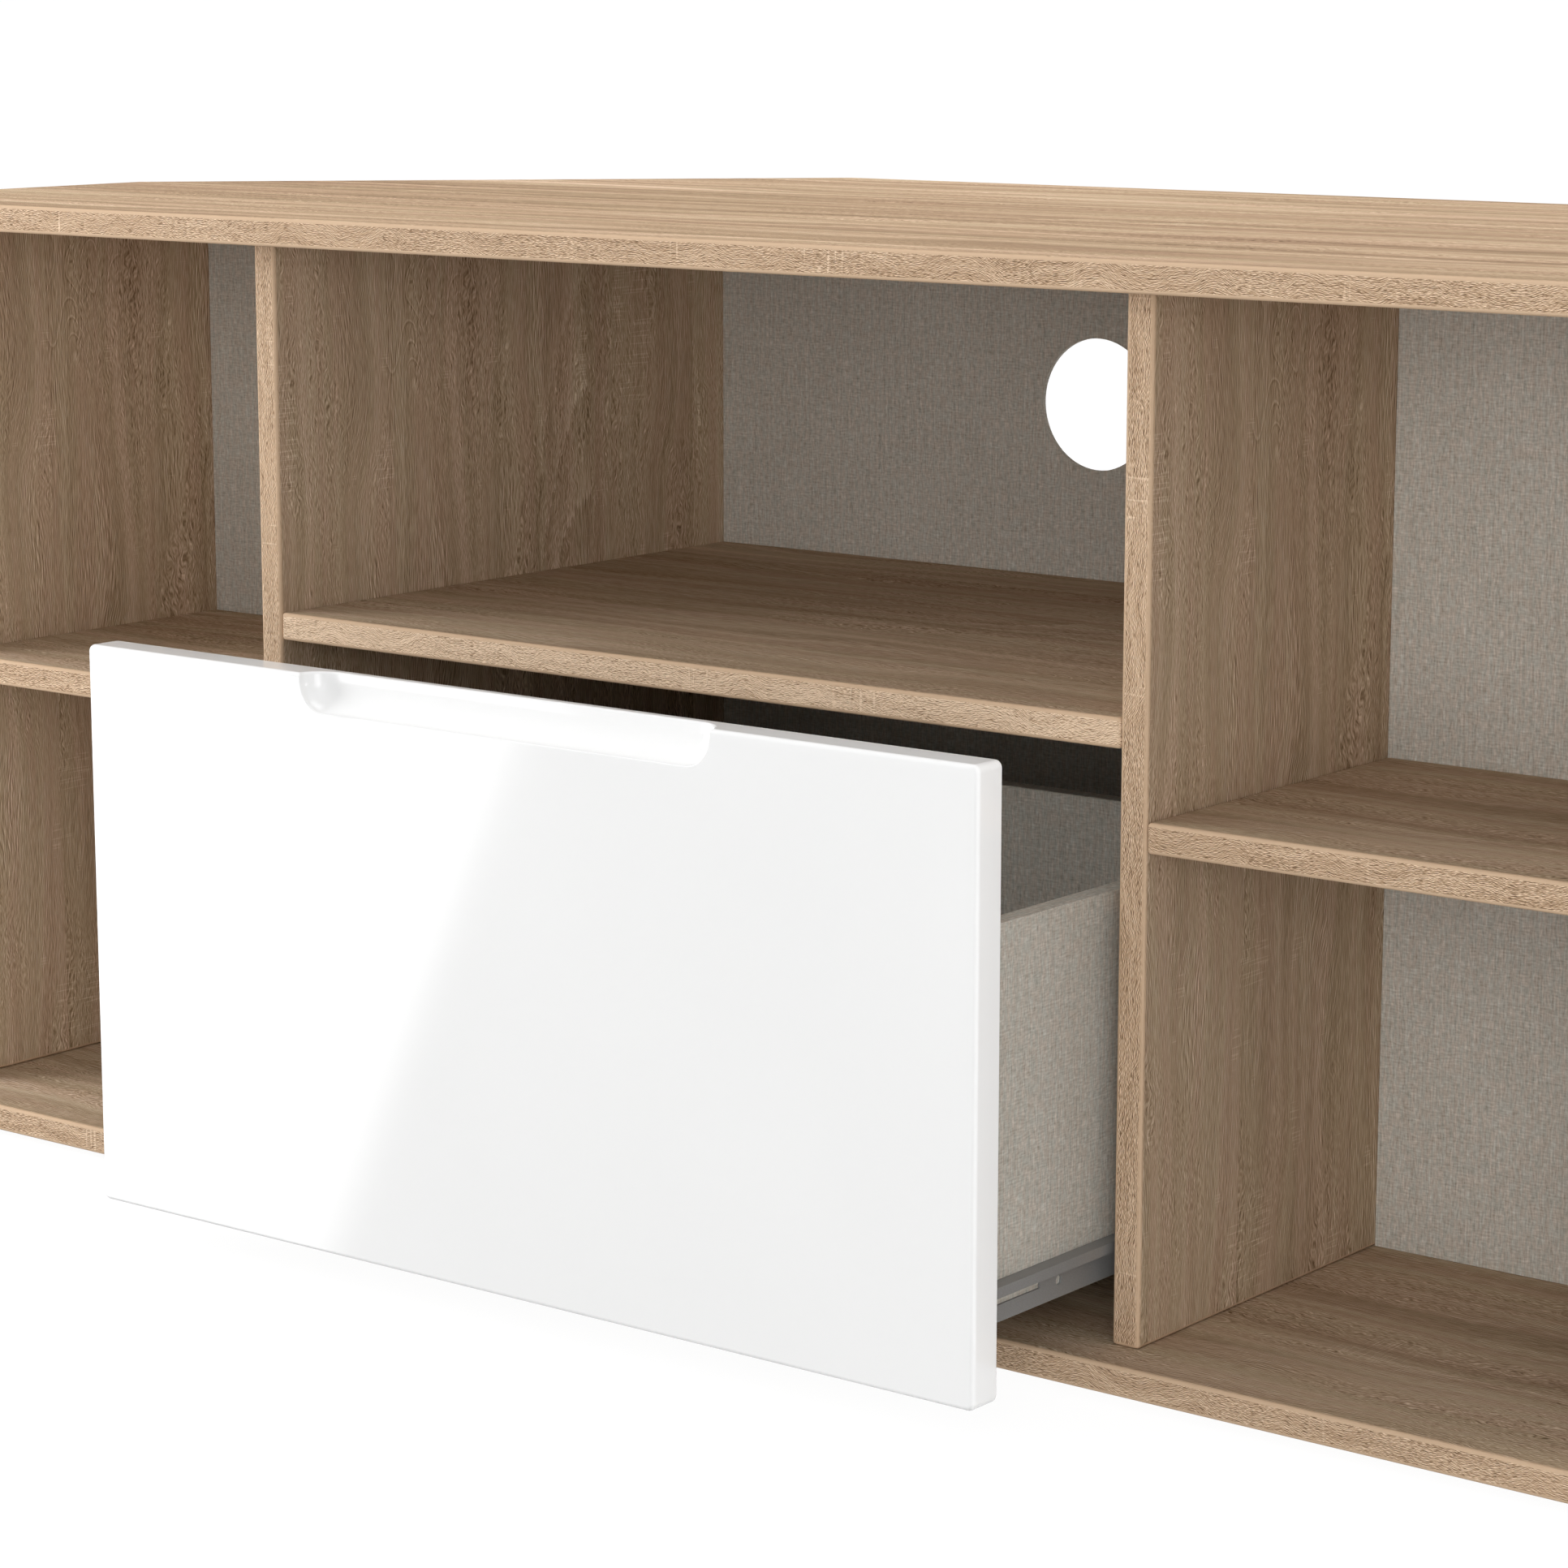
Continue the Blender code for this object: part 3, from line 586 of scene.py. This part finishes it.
def add_strip(mesh, row, other, closed=True):
    """Faces between two rows of vertices."""
    count = len(row)
    for i in range(count if closed else count - 1):
        j = (i + 1) % count
        corners = list(dict.fromkeys((row[i], row[j], other[j], other[i])))
        if len(corners) > 2:
            mesh.faces.new(corners)


def front_rings(vertex, rim):
    """Rings of vertices from the outer side round to the front."""
    turns = (math.pi / 2 * i / ROUND_STEPS for i in range(ROUND_STEPS + 1))
    return [[vertex(*rim_arc(point, turn)) for point in rim] for turn in turns]


def back_rings(vertex, rim, thickness):
    """Rings of vertices from the outer side round to the back."""
    rings = []
    for i in range(BACK_STEPS + 1):
        turn = math.pi / 2 * i / BACK_STEPS
        inset = BACK_ROUND * (1 - math.cos(turn))
        depth = thickness - BACK_ROUND * (1 - math.sin(turn))
        ring = []
        for point in rim:
            x, _, z = rim_arc(point, 0.0)
            out = point[3]
            ring.append(vertex(x - out[0] * inset, depth, z - out[1] * inset))
        rings.append(ring)
    return rings


def recess_path(bottom):
    """The recess's outline from its left end to its right: (x, z, inward direction)."""
    path = []
    for sign, start in ((-1, 180), (1, 270)):
        for i in range(PATH_STEPS + 1):
            turn = math.radians(start + 90 * i / PATH_STEPS)
            away = (math.cos(turn), math.sin(turn))
            x = sign * (RECESS_HALF - RECESS_RADIUS) + RECESS_RADIUS * away[0]
            z = bottom + RECESS_RADIUS + RECESS_RADIUS * away[1]
            path.append((x, z, (-away[0], -away[1])))
    return path


def finished_panel(mesh):
    """The object made from the mesh, cleaned and shaded smooth."""
    bmesh.ops.remove_doubles(mesh, verts=mesh.verts[:], dist=1e-6)
    bmesh.ops.triangulate(mesh, faces=[face for face in mesh.faces if len(face.verts) > 4])
    bmesh.ops.dissolve_degenerate(mesh, edges=mesh.edges[:], dist=1e-7)
    bmesh.ops.recalc_face_normals(mesh, faces=mesh.faces[:])
    data = bpy.data.meshes.new("front_panel")
    mesh.to_mesh(data)
    mesh.free()
    data.polygons.foreach_set("use_smooth", [True] * len(data.polygons))
    data.materials.append(gloss_material())
    panel = bpy.data.objects.new("front_panel", data)
    bpy.context.scene.collection.objects.link(panel)
    panel.modifiers.new("even shading", "WEIGHTED_NORMAL").weight = 100
    return panel


def build_front_panel():
    """A lacquered panel with a scooped finger recess open to the top edge, as one closed mesh."""
    low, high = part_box("drawer_front")
    middle_x = (low.x + high.x) / 2
    mesh = bmesh.new()

    def vertex(x, depth, z):
        return mesh.verts.new((middle_x + x, low.y + depth, z))

    section = recess_section()
    rim = front_rim((high.x - low.x) / 2, low.z, high.z, section)
    rings = front_rings(vertex, rim)
    rear = back_rings(vertex, rim, high.y - low.y)
    for ring, other in zip(rings, rings[1:]):
        add_strip(mesh, ring, other)
    add_strip(mesh, rear[0], rings[0])
    for ring, other in zip(rear, rear[1:]):
        add_strip(mesh, other, ring)
    mesh.faces.new(rear[-1])

    front = rings[-1]
    count = len(section)
    rows = [front[:count]]
    for x, z, inward in recess_path(high.z - RECESS_HEIGHT):
        rows.append([vertex(x + inward[0] * inset, depth, z + inward[1] * inset)
                     for inset, depth, _, _ in section])
    rows.append(front[2 * count - 1:count - 1:-1])
    for row, other in zip(rows, rows[1:]):
        add_strip(mesh, row, other, closed=False)
    mesh.faces.new([row[-1] for row in rows])
    mesh.faces.new([row[0] for row in reversed(rows)] + front[:2 * count - 1:-1])

    panel = finished_panel(mesh)
    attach(panel, "drawer")
    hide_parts("drawer_front")


def gloss_material():
    shader = Shader("white_gloss_lacquer", roughness=0.05, IOR=1.5)
    x, _, z = shader.split(shader.place)
    cloud = shader.noise(shader.times(x, 6.0), shader.times(z, 6.0), 2.0)
    shader.set("Base Color", shader.ramp(cloud, GLOSS_STOPS))
    shader.set("Roughness", shader.fade(cloud, 0.3, 0.7, 0.045, 0.065))
    return shader.material


# ---------------------------------------------------------------- fittings

def speckled_material(name, dark, light, scale, roughness, metallic=0.0, depth=0.0001):
    """A plain finish with a fine tone variation and a slight texture."""
    shader = Shader(name, roughness=roughness, metallic=metallic)
    x, y, z = shader.split(shader.place)
    tone = shader.noise(shader.times(shader.sum(x, z), scale), shader.times(shader.sum(y, z), scale), 3.0)
    shader.set("Base Color", shader.ramp(tone, ((0.3, dark), (0.7, light))))
    shader.set("Roughness", shader.fade(tone, 0.2, 0.8, roughness - 0.06, roughness + 0.06))
    shader.bump(tone, depth, 0.3)
    return shader.material


def beech_material():
    shader = Shader("beech", roughness=0.6)
    x, y, z = shader.split(shader.place)
    grain = shader.noise(shader.times(x, 150.0), shader.times(shader.sum(y, z), 1500.0), 2.0)
    shader.set("Base Color", shader.ramp(grain, ((0.3, (0.48, 0.31, 0.17)), (0.7, (0.66, 0.47, 0.29)))))
    shader.bump(grain, 0.0001, 0.4)
    return shader.material


def finish_fittings():
    rail = speckled_material("rail_paint", (0.235, 0.235, 0.232), (0.275, 0.275, 0.272), 900.0, 0.42, 0.2)
    nylon = speckled_material("nylon", (0.72, 0.72, 0.69), (0.80, 0.80, 0.78), 700.0, 0.45)
    steel = speckled_material("plated_steel", (0.50, 0.50, 0.52), (0.64, 0.64, 0.66), 1500.0, 0.3, 1.0)
    zinc = speckled_material("die_cast_zinc", (0.42, 0.42, 0.42), (0.55, 0.55, 0.55), 1100.0, 0.42, 1.0)
    glide = speckled_material("glide_plastic", (0.035, 0.028, 0.022), (0.055, 0.045, 0.036), 800.0, 0.5)
    endings = {"_rail": rail, "_roller": nylon, "_axle": steel, "_screw": steel, "_cam": zinc,
               "_glide": glide}
    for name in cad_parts:
        for ending, material in endings.items():
            if name.endswith(ending):
                give(material, name)
    give(beech_material(), *(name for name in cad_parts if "_dowel_" in name))


# ---------------------------------------------------------------- studio

def floor_material():
    shader = Shader("pale_floor", roughness=0.9, Specular_IOR_Level=0.0)
    shader.set("Base Color", (0.10, 0.10, 0.10, 1.0))
    shader.set("Emission Color", (1.0, 1.0, 1.0, 1.0))
    shader.set("Emission Strength", FLOOR_GLOW)
    return shader.material


def card_material():
    """A glowing card, much brighter beyond a line across it."""
    shader = Shader("bright_card", roughness=0.9, Specular_IOR_Level=0.0)
    x, y, _ = shader.split(shader.place)
    side = shader.sum(shader.times(x, CARD_ACROSS[0]), shader.times(y, CARD_ACROSS[1]))
    shader.set("Base Color", (0.0, 0.0, 0.0, 1.0))
    shader.set("Emission Color", (1.0, 1.0, 1.0, 1.0))
    glow = shader.fade(side, CARD_EDGE - CARD_FADE, CARD_EDGE + CARD_FADE, 1.0, CARD_GLOW)
    shader.set("Emission Strength", glow)
    return shader.material


def add_walls(corners, material):
    """Far white walls that only the camera sees, and only where it sees that far."""
    for number, (x, y, z) in enumerate(corners):
        next_x, next_y, _ = corners[(number + 1) % len(corners)]
        ring = ((x, y, z), (next_x, next_y, z), (next_x, next_y, WALL_HEIGHT), (x, y, WALL_HEIGHT))
        wall = add_stage_plane(f"wall_{number + 1}", ring, material)
        wall.visible_diffuse = False
        wall.visible_glossy = False
        wall.visible_transmission = False
        wall.visible_shadow = False


def build_studio():
    half = FLOOR_SIZE / 2
    corners = ((-half, -half, 0), (half, -half, 0), (half, half, 0), (-half, half, 0))
    pale = floor_material()
    floor = add_stage_plane("floor", corners, pale)
    floor.visible_diffuse = False
    floor.visible_shadow = False
    add_walls(corners, pale)
    card = add_stage_plane("card", CARD_CORNERS, card_material())
    card.visible_camera = False
    card.visible_diffuse = False
    card.visible_shadow = False
    add_world()
    for softbox in SOFTBOXES:
        add_area_light(*softbox)
    bpy.context.scene.view_settings.view_transform = "Standard"


add_camera()
build_studio()
finish_boards()
finish_linen()
finish_fittings()
build_front_panel()

boxes = {"cad": cad_bounds, "visual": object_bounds()}
{name: [list(corner) for corner in box] for name, box in boxes.items()}
